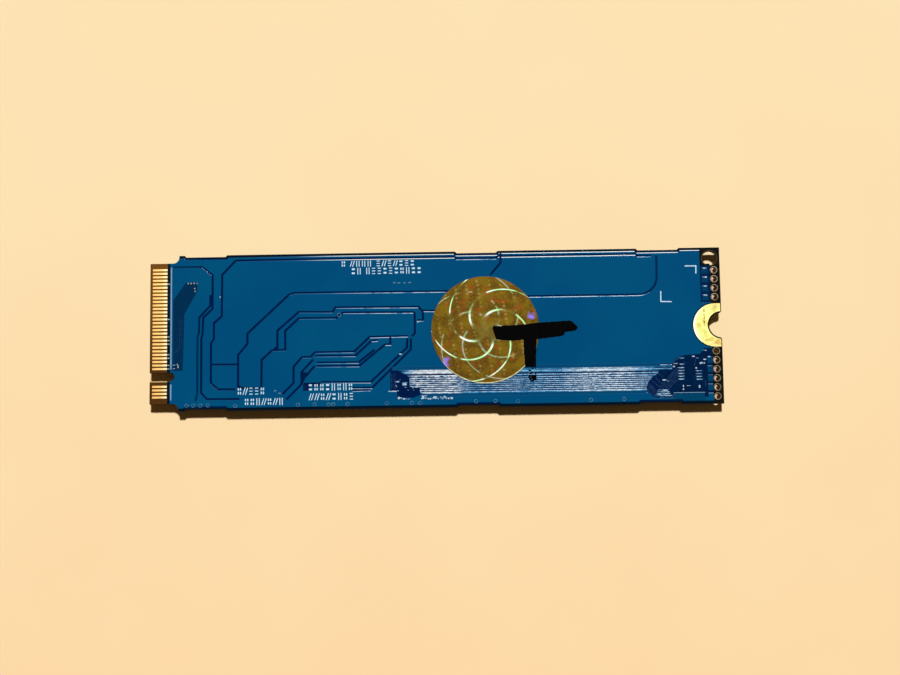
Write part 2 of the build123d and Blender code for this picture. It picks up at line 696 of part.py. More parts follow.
nodes = {
    "board_laminate": [board_laminate()],
    "solder_mask_upper": [solder_mask_upper()],
    "solder_mask_lower": [solder_mask_lower()],
    "edge_contacts_upper": edge_contacts(0.0, laminate_high),
    "edge_contacts_lower": edge_contacts(contact_pitch / 2, laminate_low - plating_thickness),
    "mounting_pad_upper": [mounting_pad(laminate_high)],
    "mounting_pad_lower": [mounting_pad(laminate_low - plating_thickness)],
    "test_hole_sleeves": test_hole_sleeves(),
    "foil_sticker": [foil_sticker()],
    "controller_package": at_places([controller_package], [(controller_x, 0)]),
    "controller_balls": at_places(controller_balls, [(controller_x, 0)]),
    "buffer_memory_package": at_places([buffer_package], [(buffer_x, 0)]),
    "buffer_memory_balls": at_places(buffer_balls, [(buffer_x, 0)]),
    "flash_package_inner": at_places([flash_package], [(inner_flash_x, 0)]),
    "flash_package_outer": at_places([flash_package], [(outer_flash_x, 0)]),
    "flash_balls": at_places(flash_grid, [(inner_flash_x, 0), (outer_flash_x, 0)]),
    "power_manager_package": at_places([manager_package], manager_place),
    "power_manager_frame": at_places(manager_frame(), manager_place),
    "power_inductor_bodies": at_places([inductor_body()], inductor_places),
    "power_inductor_terminals": at_places(inductor_terminals(), inductor_places),
    "crystal_base": at_places([block(crystal_length, crystal_width, crystal_base_height)], crystal_place),
    "crystal_lid": at_places([crystal_lid()], crystal_place),
    "boot_memory_package": at_places([leadless_package(boot_length, boot_width, boot_height)], boot_place),
    "boot_memory_frame": at_places(boot_frame(), boot_place),
    "load_switch_package": at_places([switch_body()], switch_place),
    "load_switch_leads": at_places(switch_leads(), switch_place),
    "bulk_capacitor_bodies": at_places([chip_body(bulk_chip)], bulk_places),
    "bulk_capacitor_caps": at_places(chip_caps(bulk_chip), bulk_places),
    "decoupling_capacitor_bodies": at_places([chip_body(small_chip)], decoupling_places),
    "decoupling_capacitor_caps": at_places(chip_caps(small_chip), decoupling_places),
    "coupling_capacitor_bodies": at_places([chip_body(coupling_chip)], coupling_places),
    "coupling_capacitor_caps": at_places(chip_caps(coupling_chip), coupling_places),
    "resistor_bodies": at_places([chip_body(resistor_chip)], resistor_places),
    "resistor_caps": at_places(chip_caps(resistor_chip), resistor_places),
    "input_fuse_body": at_places([chip_body(middle_chip)], fuse_place),
    "input_fuse_caps": at_places(chip_caps(middle_chip), fuse_place),
    "ferrite_bead_bodies": at_places([chip_body(middle_chip)], bead_places),
    "ferrite_bead_caps": at_places(chip_caps(middle_chip), bead_places),
}

os.makedirs("parts", exist_ok=True)
for name, pieces in nodes.items():
    solids = [solid for piece in pieces for solid in piece.solids()]
    export_step(solids[0] if len(solids) == 1 else Compound(solids), f"parts/{name}.step")
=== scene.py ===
"""Looks of the solid state drive card: finishes, print, pen mark, vias, floor, light and camera."""

import math
import random

import bmesh
import bpy
from mathutils import Euler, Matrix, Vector, noise


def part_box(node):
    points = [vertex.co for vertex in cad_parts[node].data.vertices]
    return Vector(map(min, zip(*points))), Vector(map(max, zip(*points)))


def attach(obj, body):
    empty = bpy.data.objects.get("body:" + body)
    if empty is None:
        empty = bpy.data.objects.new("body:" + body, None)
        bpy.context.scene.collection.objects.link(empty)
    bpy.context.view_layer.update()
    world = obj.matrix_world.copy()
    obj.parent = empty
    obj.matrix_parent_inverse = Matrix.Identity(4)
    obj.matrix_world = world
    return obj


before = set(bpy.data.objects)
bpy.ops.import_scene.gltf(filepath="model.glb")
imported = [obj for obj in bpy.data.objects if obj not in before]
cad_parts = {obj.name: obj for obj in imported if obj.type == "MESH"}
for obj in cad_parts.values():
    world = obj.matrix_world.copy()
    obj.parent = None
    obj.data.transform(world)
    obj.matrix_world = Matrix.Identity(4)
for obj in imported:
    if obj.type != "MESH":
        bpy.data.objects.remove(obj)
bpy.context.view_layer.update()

MM = 0.001
BODY = "root"

# Levels and places of the card, in mm, read from the frame
_, card_high = [tuple(v / MM for v in corner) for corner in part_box("board_laminate")]
_, mask_high = [tuple(v / MM for v in corner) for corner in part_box("solder_mask_upper")]
foil_low, foil_high = [tuple(v / MM for v in corner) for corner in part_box("foil_sticker")]
finger_low, finger_high = [tuple(v / MM for v in corner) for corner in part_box("edge_contacts_upper")]
hole_low, hole_high = [tuple(v / MM for v in corner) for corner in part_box("test_hole_sleeves")]
pad_low, pad_high = [tuple(v / MM for v in corner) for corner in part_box("mounting_pad_upper")]
REAR, FAR_SIDE = card_high[:2]
MASK_TOP = mask_high[2]
FOIL_TOP = foil_high[2]
FOIL_X = (foil_low[0] + foil_high[0]) / 2
FOIL_Y = (foil_low[1] + foil_high[1]) / 2
FOIL_RADIUS = (foil_high[0] - foil_low[0]) / 2
PAD_RADIUS = (pad_high[1] - pad_low[1]) / 2
PAD_X = pad_low[0] + PAD_RADIUS
HOLE_X = (hole_low[0] + hole_high[0]) / 2
HOLE_TOP = hole_high[2]

# Sizes and places that the frame doesn't give, in mm
COPPER_THICKNESS = 0.035
MASK_FLOOR = MASK_TOP - COPPER_THICKNESS
CONTACT_PITCH = 0.5
CONTACT_WIDTH = 0.35
FIRST_CONTACT_Y = finger_high[1] - CONTACT_WIDTH / 2
HOLE_PITCH = 1.27
FIRST_HOLE_Y = 3.99
TOOLING_HOLE_RADIUS = 1.0
TOOLING_HOLE_FROM_REAR = 1.43
TOOLING_HOLE_FROM_SIDE = 1.5
SUBSTRATE_Z = 0.80
BUS_SPLIT_Y = -6.3
COMB_PITCH = 0.4
FIRST_COMB_Y = -7.6
PRINT_HEIGHT = 0.012
PRINT_STROKE = 0.12
PRINT_STEP = 0.8
PRINT_SPACE = 1.25
INK_LIFT = 0.002
OVER_INK_LIFT = 0.011
INK_THICKNESS = 0.008

# Fields of the bare side by the bus, in mm: left, right, bottom, top
BUS_FIELD = (-5.5, 33.1, -9.03, -5.72)
BESIDE_BUS = (-6.0, 31.3, -5.72, -5.2)
BELOW_BUS = (-1.3, 29.3, -9.5, -9.03)
# The lower line and the fan field carry painted highlights
BUS_LOWER_LINE = (-1.8, 29.4, -9.0, -8.88)
BUS_FAN_FIELD = (30.8, 33.0, -9.85, -8.7)

# Camera and light, in degrees and mm
CAMERA_TURN = (7.845, 0.772, -0.799)
CAMERA_TARGET = (2.053, -1.185, 2.0)
CAMERA_DISTANCE = 259.469
CAMERA_LENS = 74.26
TOWARD_SUN = (0.14, 1.04, 2.05)
SUN_WIDTH = 5.0


# Node helpers

def srgb(red, green, blue):
    """Linear colour from an sRGB one in steps of 0 to 255."""
    steps = [v / 255 for v in (red, green, blue)]
    return tuple(v / 12.92 if v <= 0.04045 else ((v + 0.055) / 1.055) ** 2.4 for v in steps) + (1.0,)


class Finish:
    """A material in the making: its nodes, its shader, and each point's place in mm."""

    def __init__(self, name, **fixed):
        self.material = bpy.data.materials.new(name)
        self.material.use_nodes = True
        self.tree = self.material.node_tree
        self.shader = self.tree.nodes["Principled BSDF"]
        for socket, value in fixed.items():
            self.shader.inputs[socket.replace("_", " ")].default_value = value
        coordinates = self.tree.nodes.new("ShaderNodeTexCoord").outputs["Object"]
        self.place = self.put("VectorMath", {0: coordinates, "Scale": 1 / MM}, operation="SCALE")
        self.x, self.y, self.z = self.split(self.place)
        geometry = self.tree.nodes.new("ShaderNodeNewGeometry")
        _, self.ny, self.nz = self.split(geometry.outputs["True Normal"])

    def put(self, kind, inputs, output=0, **settings):
        """Adds a node, links or sets its inputs, and returns one of its outputs."""
        node = self.tree.nodes.new("ShaderNode" + kind)
        for key, value in settings.items():
            setattr(node, key, value)
        for key, value in inputs.items():
            if isinstance(value, bpy.types.NodeSocket):
                self.tree.links.new(value, node.inputs[key])
            else:
                node.inputs[key].default_value = value
        return node.outputs[output]

    def split(self, vector):
        """The three parts of a vector."""
        node = self.tree.nodes.new("ShaderNodeSeparateXYZ")
        self.tree.links.new(vector, node.inputs[0])
        return node.outputs

    def calc(self, operation, a, b=0.0, clamp=False):
        """One step of arithmetic, kept within 0 and 1 if asked."""
        return self.put("Math", {0: a, 1: b}, operation=operation, use_clamp=clamp)

    def times(self, product, *factors):
        """Product of two or more values."""
        for factor in factors:
            product = self.calc("MULTIPLY", product, factor)
        return product

    def without(self, share):
        """What a share leaves of 1."""
        return self.calc("SUBTRACT", 1.0, share)

    def away(self, x, y, z):
        """Distance of each point from a place."""
        return self.put("VectorMath", {0: self.place, 1: (x, y, z)}, "Value", operation="DISTANCE")

    def ramp(self, value, start, end, low=0.0, high=1.0):
        """Runs evenly from start to end while the value goes from low to high."""
        return self.put("MapRange", {0: value, 1: low, 2: high, 3: start, 4: end})

    def band(self, value, low, high):
        """0 up to low and 1 from high on, eased between, or the other way round if high is the lesser."""
        return self.put("MapRange", {0: value, 1: low, 2: high}, interpolation_type="SMOOTHSTEP")

    def between(self, value, low, high, soft):
        """1 between two values and 0 outside them, with soft sides."""
        rise = self.band(value, low - soft, low + soft)
        fall = self.band(value, high - soft, high + soft)
        return self.calc("SUBTRACT", rise, fall, clamp=True)

    def field(self, limits, soft_x, soft_y):
        """1 over a field given by its left, right, bottom and top, and 0 outside it."""
        left, right, bottom, top = limits
        along = self.between(self.x, left, right, soft_x)
        across = self.between(self.y, bottom, top, soft_y)
        return self.times(along, across)

    def mix(self, share, first, second):
        """The first colour, or the second one by its share."""
        return self.put("MixRGB", {0: share, 1: first, 2: second})

    def cloud(self, scale, detail=3.0, stretch=None, distortion=0.0):
        """Noise with a feature size of about 1/scale mm, finer along an axis if asked."""
        place = self.place
        if stretch:
            place = self.put("VectorMath", {0: place, 1: stretch}, operation="MULTIPLY")
        inputs = {"Vector": place, "Scale": scale, "Detail": detail, "Distortion": distortion}
        return self.put("TexNoise", inputs)

    def grains(self, scale, **settings):
        """Cells of about 1/scale mm, as the distance from their middles."""
        return self.put("TexVoronoi", {"Vector": self.place, "Scale": scale}, **settings)

    def waves(self, axis, scale, distortion, detail_scale=1.0):
        """Even bands across an axis, a little distorted."""
        inputs = {"Vector": self.place, "Scale": scale, "Distortion": distortion}
        inputs["Detail Scale"] = detail_scale
        return self.put("TexWave", inputs, bands_direction=axis)

    def colour(self, socket):
        """Gives the shader its colour."""
        self.tree.links.new(socket, self.shader.inputs["Base Color"])

    def roughness(self, share, low, high):
        """Gives the shader a roughness from low to high by a share."""
        self.tree.links.new(self.ramp(share, low, high), self.shader.inputs["Roughness"])

    def bump(self, height, depth, strength=1.0, rounded=0.0):
        """Bump of a depth in mm, over edges rounded by a radius in mm."""
        inputs = {"Height": height, "Distance": depth * MM, "Strength": strength}
        if rounded:
            inputs["Normal"] = self.put("Bevel", {"Radius": rounded * MM}, samples=6)
        self.tree.links.new(self.put("Bump", inputs), self.shader.inputs["Normal"])


# Finishes of the board

def pour_colour(f):
    """Mask over the copper pours: cloudy, darker in two fields at the rear and in a line round the pad."""
    base = f.mix(f.band(f.cloud(0.09, 2.0), 0.35, 0.65), srgb(0, 81, 126), srgb(0, 76, 124))
    fine = f.band(f.cloud(9.0, 4.0), 0.45, 0.75)
    base = f.mix(f.times(fine, 0.2), base, srgb(0, 86, 134))
    lowest_pour = f.times(f.between(f.x, 33.0, 37.5, 0.1), f.band(f.y, -9.3, -9.45))
    base = f.mix(f.times(lowest_pour, 0.6), base, srgb(2, 56, 90))
    low_tiles = f.times(f.band(f.x, 37.3, 37.5), f.between(f.y, -9.4, -3.4, 0.1))
    base = f.mix(f.times(low_tiles, 0.75), base, srgb(2, 58, 98))
    from_pad = f.away(PAD_X, 0.0, MASK_TOP)
    return f.mix(f.band(from_pad, PAD_RADIUS + 0.2, PAD_RADIUS + 0.08), base, srgb(4, 22, 34))


def gap_colour(f):
    """Mask in the gaps between pours: blackish by the contacts and along the sides, in steps by the holes."""
    past_near_block = f.band(f.x, -33.2, -33.0)
    base = f.mix(past_near_block, srgb(2, 46, 82), srgb(0, 26, 72))
    past_contacts = f.band(f.x, -37.3, -37.1)
    base = f.mix(past_contacts, srgb(4, 18, 26), base)
    rear = f.mix(f.band(f.y, 3.0, 3.3), srgb(0, 29, 66), srgb(4, 50, 88))
    base = f.mix(f.band(f.x, 29.0, 33.0), base, rear)
    shade = f.band(f.cloud(1.4, 3.0), 0.5, 0.7)
    base = f.mix(f.times(shade, 0.4), base, srgb(0, 44, 92))
    along_sides = f.band(f.calc("ABSOLUTE", f.y), 10.5, 10.65)
    base = f.mix(along_sides, base, srgb(4, 20, 36))
    first_tile = 8.06
    step = f.calc("FRACT", f.calc("DIVIDE", f.calc("SUBTRACT", first_tile, f.y), HOLE_PITCH))
    step = f.times(f.between(step, 0.1, 0.58, 0.08), f.between(f.x, 37.4, 38.3, 0.1))
    tile = f.mix(step, srgb(0, 34, 76), srgb(2, 60, 100))
    above_tiles = f.band(f.y, 8.4, 8.5)
    tile = f.mix(above_tiles, tile, srgb(5, 10, 10))
    beside_holes = f.times(f.band(f.x, 36.9, 37.0), f.band(f.y, 3.1, 3.2))
    return f.mix(beside_holes, base, tile)


def painted_bus_glints(f):
    """Painted highlight of the bus: how bright its painted glints are along the card, and the streaks they
    break into along its traces.
    """
    left_patch = f.between(f.x, -3.4, 3.4, 1.2)
    right_patch = f.times(f.between(f.x, 19.0, 28.0, 2.6), 0.7)
    level = f.calc("ADD", left_patch, right_patch, clamp=True)
    streaks = f.band(f.cloud(1.3, 5.0, (1.1, 4.8, 1.0)), 0.44, 0.55)
    flicker = f.ramp(f.cloud(3.2, 2.0, (1.0, 1.4, 1.0)), 0.12, 1.0, low=0.40, high=0.54)
    return level, f.times(streaks, flicker)


def paint_slope_highlights(f, base, in_bus, covered, level, ridge):
    """Paints highlights on the sloped sides of the pours that face the sun, most of all those along the far
    side, and paints shade over such slopes beside and below the bus.
    """
    slope = f.between(f.nz, 0.5, 0.985, 0.01)
    lit_side = f.times(slope, f.band(f.ny, 0.32, 0.38))
    # Painted shade: sunlit slopes beside and below the bus are darkened to the mask's colour over copper
    base = f.mix(f.times(lit_side, covered), base, srgb(0, 54, 92))
    lit_side = f.times(lit_side, f.without(covered))
    # Painted highlight: pale blue on the slopes that face the sun, stronger away from the contacts
    soft = f.ramp(f.x, 0.1, 0.6, low=-27.0, high=-14.0)
    base = f.mix(f.times(lit_side, soft), base, srgb(76, 150, 206))
    # Painted highlight: near-white glint dashes on those slopes, a white line along the far side, and the
    # bus's streaks
    side_edge = f.times(f.band(f.y, FAR_SIDE - 1.1, FAR_SIDE - 1.0), f.band(f.x, -20.0, -9.0))
    dashes = f.band(f.cloud(0.8, 4.0, (0.9, 0.4, 1.0)), 0.36, 0.52)
    dull = f.times(in_bus, f.ramp(level, 0.75, 0.0))
    along = f.times(f.band(f.x, -17.0, -5.0), dashes, f.without(dull))
    shine = f.calc("ADD", f.times(along, 0.85), f.calc("ADD", side_edge, ridge), clamp=True)
    base = f.mix(f.times(lit_side, shine), base, srgb(206, 228, 250))
    return f.mix(f.times(lit_side, side_edge), base, srgb(252, 253, 248))


def mask_finish():
    """Blue solder mask: lighter over copper, dark in the gaps, with painted highlights on the bus and on the
    slopes that face the sun.
    """
    f = Finish("blue_solder_mask", Specular_IOR_Level=0.1, Specular_Tint=(0.5, 0.76, 1.0, 1.0))
    in_bus = f.field(BUS_FIELD, 0.1, 0.03)
    covered = f.calc("ADD", f.field(BESIDE_BUS, 0.1, 0.03), f.field(BELOW_BUS, 0.1, 0.03), clamp=True)
    # Painted highlight: pale streaks on the bus's ridges, strongest where its glints are brightest
    level, streaks = painted_bus_glints(f)
    share = f.ramp(level, 0.55, 1.0)
    ridge = f.times(streaks, share, in_bus)
    pale = f.mix(level, srgb(84, 170, 224), srgb(240, 250, 255))
    pour = pour_colour(f)
    gap = f.mix(covered, gap_colour(f), pour)
    # Paints the bus's glint streaks onto the mask over copper
    pour = f.mix(ridge, pour, pale)
    # Painted highlight: pale glint streaks over the fan of traces by the bus's rear end
    in_fan = f.times(streaks, 0.9, f.field(BUS_FAN_FIELD, 0.2, 0.06))
    pour = f.mix(in_fan, pour, srgb(190, 216, 238))
    raised = f.band(f.z, MASK_TOP - 0.012, MASK_TOP - 0.003)
    base = f.mix(raised, gap, pour)
    # Painted highlight: the brightest glint lines, above the split of the bus and along its lower line
    above_split = f.times(f.band(f.y, BUS_SPLIT_Y + 0.02, BUS_SPLIT_Y + 0.1), f.between(f.x, -4.3, 30.5, 0.6))
    painted_glint_lines = f.calc("ADD", above_split, f.field(BUS_LOWER_LINE, 0.1, 0.02))
    painted_glint_lines = f.times(painted_glint_lines, f.times(in_bus, share))
    base = f.mix(f.times(painted_glint_lines, f.ramp(streaks, 0.5, 1.0)), base, pale)
    base = paint_slope_highlights(f, base, in_bus, covered, level, ridge)
    wall = f.band(f.nz, 0.45, 0.2)
    f.colour(f.mix(wall, base, srgb(12, 34, 40)))
    f.roughness(covered, 0.15, 0.75)
    f.bump(f.cloud(2.2, 3.0), 0.004, 0.3, rounded=0.06)
    return f.material


def lower_mask_finish():
    """The same mask on the component side, with the dark gaps between the copper pours beneath."""
    f = Finish("blue_solder_mask_lower", Roughness=0.18, Specular_IOR_Level=0.3)
    drift = f.band(f.cloud(0.12, 2.0), 0.35, 0.65)
    base = f.mix(drift, srgb(0, 78, 122), srgb(0, 68, 116))
    nearest, second = [
        f.grains(0.15, voronoi_dimensions="2D", distance="MANHATTAN", feature=rank) for rank in ("F1", "F2")
    ]
    gap = f.band(f.calc("SUBTRACT", second, nearest), 0.046, 0.03)
    base = f.mix(f.times(gap, 0.8), base, srgb(0, 36, 88))
    wall = f.band(f.calc("ABSOLUTE", f.nz), 0.45, 0.2)
    f.colour(f.mix(wall, base, srgb(16, 44, 52)))
    f.bump(f.without(gap), 0.02, 0.6)
    return f.material


def laminate_finish():
    """Glass-fibre board: brown tongue, blackish rear strip, brown layered walls deepened by painted shade,
    and a painted pale strip of light by the key.
    """
    f = Finish("glass_fibre_laminate", Roughness=0.6, Specular_IOR_Level=0.05)
    weave = f.times(f.waves("X", 1.3, 0.6), f.waves("Y", 1.3, 0.6))
    lower = f.mix(weave, srgb(74, 44, 8), srgb(94, 60, 18))
    upper = f.mix(weave, srgb(104, 66, 16), srgb(136, 94, 34))
    tongue = f.mix(f.band(f.y, -6.0, 6.0), lower, upper)
    # Painted light: a pale strip along the key notch's lower edge
    painted_light_by_key = f.between(f.y, -6.86, -6.70, 0.05)
    tongue = f.mix(painted_light_by_key, tongue, srgb(206, 180, 118))
    blotch = f.band(f.cloud(0.9, 4.0), 0.35, 0.7)
    rear = f.mix(blotch, srgb(2, 4, 2), srgb(9, 10, 6))
    from_hole = f.away(REAR - TOOLING_HOLE_FROM_REAR, FAR_SIDE - TOOLING_HOLE_FROM_SIDE, MASK_FLOOR)
    hole_rim = f.between(from_hole, TOOLING_HOLE_RADIUS, TOOLING_HOLE_RADIUS + 0.14, 0.06)
    rear = f.mix(hole_rim, rear, srgb(66, 58, 38))
    face = f.mix(f.band(f.x, 30.0, 36.0), tongue, rear)
    # Partly painted shade: the walls keep their own brown, darkened to how they look in shade
    layers = f.waves("Z", 2.4, 1.2, 3.0)
    wall = f.mix(layers, srgb(42, 32, 14), srgb(66, 50, 24))
    upright = f.band(f.calc("ABSOLUTE", f.nz), 0.6, 0.3)
    f.colour(f.mix(upright, face, wall))
    f.bump(f.calc("ADD", weave, f.cloud(14.0)), 0.01, 0.4)
    return f.material


# Finishes of the gold and the plating

def finger_finish():
    """Hard gold of the card edge, rubbed in lines along each contact."""
    f = Finish("contact_gold", Metallic=1.0)
    rub = f.cloud(2.0, 5.0, (0.5, 7.0, 1.0))
    along = f.calc("DIVIDE", f.calc("SUBTRACT", f.x, finger_low[0]), finger_high[0] - finger_low[0])
    base = f.mix(f.band(along, 0.0, 0.35), srgb(216, 168, 104), srgb(222, 180, 110))
    base = f.mix(f.band(along, 0.55, 0.98), base, srgb(230, 214, 170))
    base = f.mix(f.times(f.band(rub, 0.5, 0.75), 0.5), base, srgb(168, 118, 52))
    aside = f.calc("PINGPONG", f.calc("SUBTRACT", f.y, FIRST_CONTACT_Y), CONTACT_PITCH / 2)
    f.colour(f.mix(f.band(aside, 0.09, 0.17), base, srgb(120, 82, 30)))
    f.roughness(rub, 0.42, 0.62)
    f.bump(rub, 0.006, 0.5, rounded=0.02)
    return f.material


def pad_finish():
    """Gold of the mounting pad: smudges, a dotted scrape, and a painted highlight along its rim away from the
    card's end.
    """
    f = Finish("pad_gold", Metallic=1.0)
    smudge = f.band(f.cloud(0.7, 4.0), 0.4, 0.7)
    base = f.mix(smudge, srgb(200, 196, 122), srgb(194, 188, 102))
    from_notch = f.away(REAR, 0.0, MASK_FLOOR)
    # Painted highlight: a pale band along the pad's rim, fading toward the card's end
    painted_rim_highlight = f.times(f.band(from_notch, 3.3, 3.9), f.band(f.x, 38.6, 36.6))
    base = f.mix(f.times(painted_rim_highlight, 0.8), base, srgb(224, 222, 190))
    ends = f.times(f.band(f.calc("ABSOLUTE", f.y), 1.5, 2.7), f.band(f.x, 37.4, 38.6))
    base = f.mix(f.times(ends, 0.6), base, srgb(186, 166, 112))
    scrape = f.times(f.between(f.x, 37.48, 37.7, 0.05), f.between(f.y, -0.8, 2.3, 0.2))
    dots = f.times(scrape, f.band(f.cloud(2.6, 2.0), 0.42, 0.52))
    base = f.mix(f.times(dots, 0.85), base, srgb(124, 94, 38))
    scuff = f.times(f.band(f.y, -1.7, -2.2), f.band(f.cloud(1.7, 4.0, (0.6, 1.6, 1.0)), 0.48, 0.6))
    base = f.mix(f.times(scuff, 0.75), base, srgb(164, 134, 62))
    specks = f.band(f.grains(3.2), 0.1, 0.02)
    f.colour(f.mix(f.times(specks, 0.4), base, srgb(140, 104, 46)))
    f.roughness(smudge, 0.5, 0.64)
    f.bump(f.cloud(6.0, 4.0), 0.004, 0.4, rounded=0.03)
    return f.material


def sleeve_finish():
    """Plated test holes: dull rims, and dark red-brown copper down the bore, its own colour deepened by
    painted shade.
    """
    f = Finish("plated_copper", Metallic=1.0)
    tarnish = f.band(f.cloud(4.0, 4.0), 0.35, 0.7)
    # Partly painted shade: the bore's copper is painted darker and redder than the rims
    bore = f.mix(tarnish, srgb(116, 58, 46), srgb(64, 28, 20))
    out = f.calc("SUBTRACT", f.x, HOLE_X)
    aside = f.calc("PINGPONG", f.calc("SUBTRACT", f.y, FIRST_HOLE_Y), HOLE_PITCH / 2)
    from_middle = f.calc("SQRT", f.calc("ADD", f.times(out, out), f.times(aside, aside)))
    rim = f.mix(tarnish, srgb(120, 108, 88), srgb(78, 70, 56))
    rim = f.mix(f.band(from_middle, 0.45, 0.39), rim, srgb(34, 20, 14))
    upper = f.band(f.z, HOLE_TOP - 0.06, HOLE_TOP - 0.01)
    f.colour(f.mix(upper, bore, rim))
    f.roughness(tarnish, 0.3, 0.55)
    f.bump(f.cloud(10.0), 0.004, 0.5, rounded=0.03)
    return f.material


# Finish of the sticker

def foil_ground(f, u, v, grain):
    """Bronze ground of the foil: fine grain, cloudy patches and faint rows of dashes."""
    base = f.mix(f.band(grain, 0.05, 0.5), srgb(118, 90, 14), srgb(72, 52, 2))
    base = f.mix(f.times(f.band(f.cloud(0.5, 4.0), 0.42, 0.62), 0.8), base, srgb(102, 82, 6))
    base = f.mix(f.times(f.band(f.cloud(0.9, 5.0), 0.52, 0.64), 0.7), base, srgb(116, 60, 8))
    row = f.calc("PINGPONG", f.calc("ADD", u, f.times(v, 0.16)), 0.8)
    dash = f.calc("PINGPONG", v, 0.3)
    rows = f.times(f.band(row, 0.24, 0.16), f.band(dash, 0.08, 0.14))
    worn = f.band(f.cloud(1.1, 4.0), 0.42, 0.62)
    return f.mix(f.times(rows, worn, 0.35), base, srgb(150, 132, 70))


def foil_spirals(f, base, u, v, radius):
    """Thin broken spiral lines that shift in colour, and fainter ones wound the other way."""
    arms = 5
    turn = f.calc("ARCTAN2", v, u)
    tint = f.mix(f.band(f.cloud(0.5, 2.0), 0.42, 0.58), srgb(156, 212, 146), srgb(200, 220, 212))
    for twist, phase, brightness in ((0.95, 0.2, 1.0), (-0.95, 1.2, 0.3)):
        wave = f.calc("ADD", f.times(turn, arms / (2 * math.pi)), f.times(radius, twist / math.pi))
        apart = f.calc("PINGPONG", f.calc("ADD", wave, phase), 0.5)
        distance = f.times(apart, radius, 2 * math.pi / arms / 1.6)
        gleam = f.band(f.cloud(0.42, 1.0, distortion=phase), 0.42, 0.52)
        gleam = f.times(gleam, f.band(radius, 1.6, 2.6), brightness)
        base = f.mix(f.times(f.band(distance, 0.4, 0.1), 0.2 * brightness), base, srgb(112, 116, 56))
        base = f.mix(f.times(f.band(distance, 0.17, 0.07), gleam), base, tint)
    return base


def foil_finish():
    """Bronze foil sticker: dashes, spiral lines, two violet flecks and a pale lower rim."""
    f = Finish("sticker_foil", Metallic=0.7, Specular_IOR_Level=0.15)
    u = f.calc("SUBTRACT", f.x, FOIL_X)
    v = f.calc("SUBTRACT", f.y, FOIL_Y)
    radius = f.away(FOIL_X, FOIL_Y, FOIL_TOP)
    grain = f.grains(9.0)
    base = foil_spirals(f, foil_ground(f, u, v, grain), u, v, radius)
    flecks = f.band(f.cloud(1.3, 3.0), 0.42, 0.58)
    for x, y, size in ((1.2, -4.6, 1.1), (13.4, 1.7, 0.8)):
        spot = f.band(f.away(x, y, FOIL_TOP), size, size * 0.4)
        base = f.mix(f.times(spot, flecks, 0.85), base, srgb(122, 104, 206))
    rim = f.times(f.band(radius, FOIL_RADIUS - 0.2, FOIL_RADIUS - 0.05), f.band(v, -3.6, -6.8))
    rim = f.times(rim, f.ramp(f.cloud(0.7, 3.0), 0.35, 1.0, low=0.4, high=0.6))
    f.colour(f.mix(rim, base, srgb(206, 212, 176)))
    f.roughness(grain, 0.44, 0.62)
    f.bump(grain, 0.012, 0.5, rounded=0.03)
    return f.material


# Finishes of the components and of thin films

def speckled_finish(name, dark, light, scale, roughness, metallic=0.0, depth=0.01, edge=0.02, gloss=0.5):
    """Finish of two colours in a fine speckle, with the same grain in its relief."""
    f = Finish(name, Metallic=metallic, Specular_IOR_Level=gloss)
    grain = f.cloud(scale, 5.0)
    f.colour(f.mix(f.band(grain, 0.35, 0.68), srgb(*dark), srgb(*light)))
    f.roughness(grain, roughness - 0.08, roughness + 0.08)
    f.bump(grain, depth, 0.5, rounded=edge)
    return f.material


def film_finish(name, dark, light, scale, roughness, edge, gloss=0.5):
    """Speckled finish of a film, with a very shallow relief."""
    return speckled_finish(name, dark, light, scale, roughness, depth=0.004, edge=edge, gloss=gloss)


def moulding_finish():
    """Black package moulding over the greenish substrate at the board side."""
    f = Finish("black_moulding")
    grain = f.cloud(7.0, 5.0)
    resin = f.mix(f.band(grain, 0.35, 0.7), srgb(26, 26, 28), srgb(44, 44, 46))
    substrate = f.mix(f.band(f.cloud(3.0), 0.4, 0.6), srgb(40, 70, 44), srgb(56, 86, 54))
    f.colour(f.mix(f.band(f.z, SUBSTRATE_Z, SUBSTRATE_Z + 0.03), resin, substrate))
    f.roughness(grain, 0.5, 0.7)
    f.bump(grain, 0.01, 0.5, rounded=0.02)
    return f.material


# Finish of every node: those not named here are tinned

solder = speckled_finish("solder", (158, 160, 160), (206, 208, 206), 6.0, 0.4, 1.0)
tin = speckled_finish("tinned_caps", (168, 168, 164), (214, 214, 208), 8.0, 0.38, 1.0)
lead_frame = speckled_finish("lead_frame", (150, 148, 142), (198, 196, 188), 9.0, 0.42, 1.0)
tan_ceramic = speckled_finish("tan_ceramic", (132, 98, 66), (164, 128, 90), 12.0, 0.5)
black_ceramic = speckled_finish("black_ceramic", (20, 20, 22), (38, 38, 42), 12.0, 0.35)
ferrite = speckled_finish("ferrite", (48, 48, 50), (84, 84, 84), 5.0, 0.65, depth=0.02)
crystal_ceramic = speckled_finish("crystal_ceramic", (60, 54, 46), (82, 74, 62), 10.0, 0.5)
crystal_lid = speckled_finish("crystal_lid", (190, 188, 180), (216, 214, 206), 4.0, 0.3, 1.0)
moulding = moulding_finish()
finishes = {}
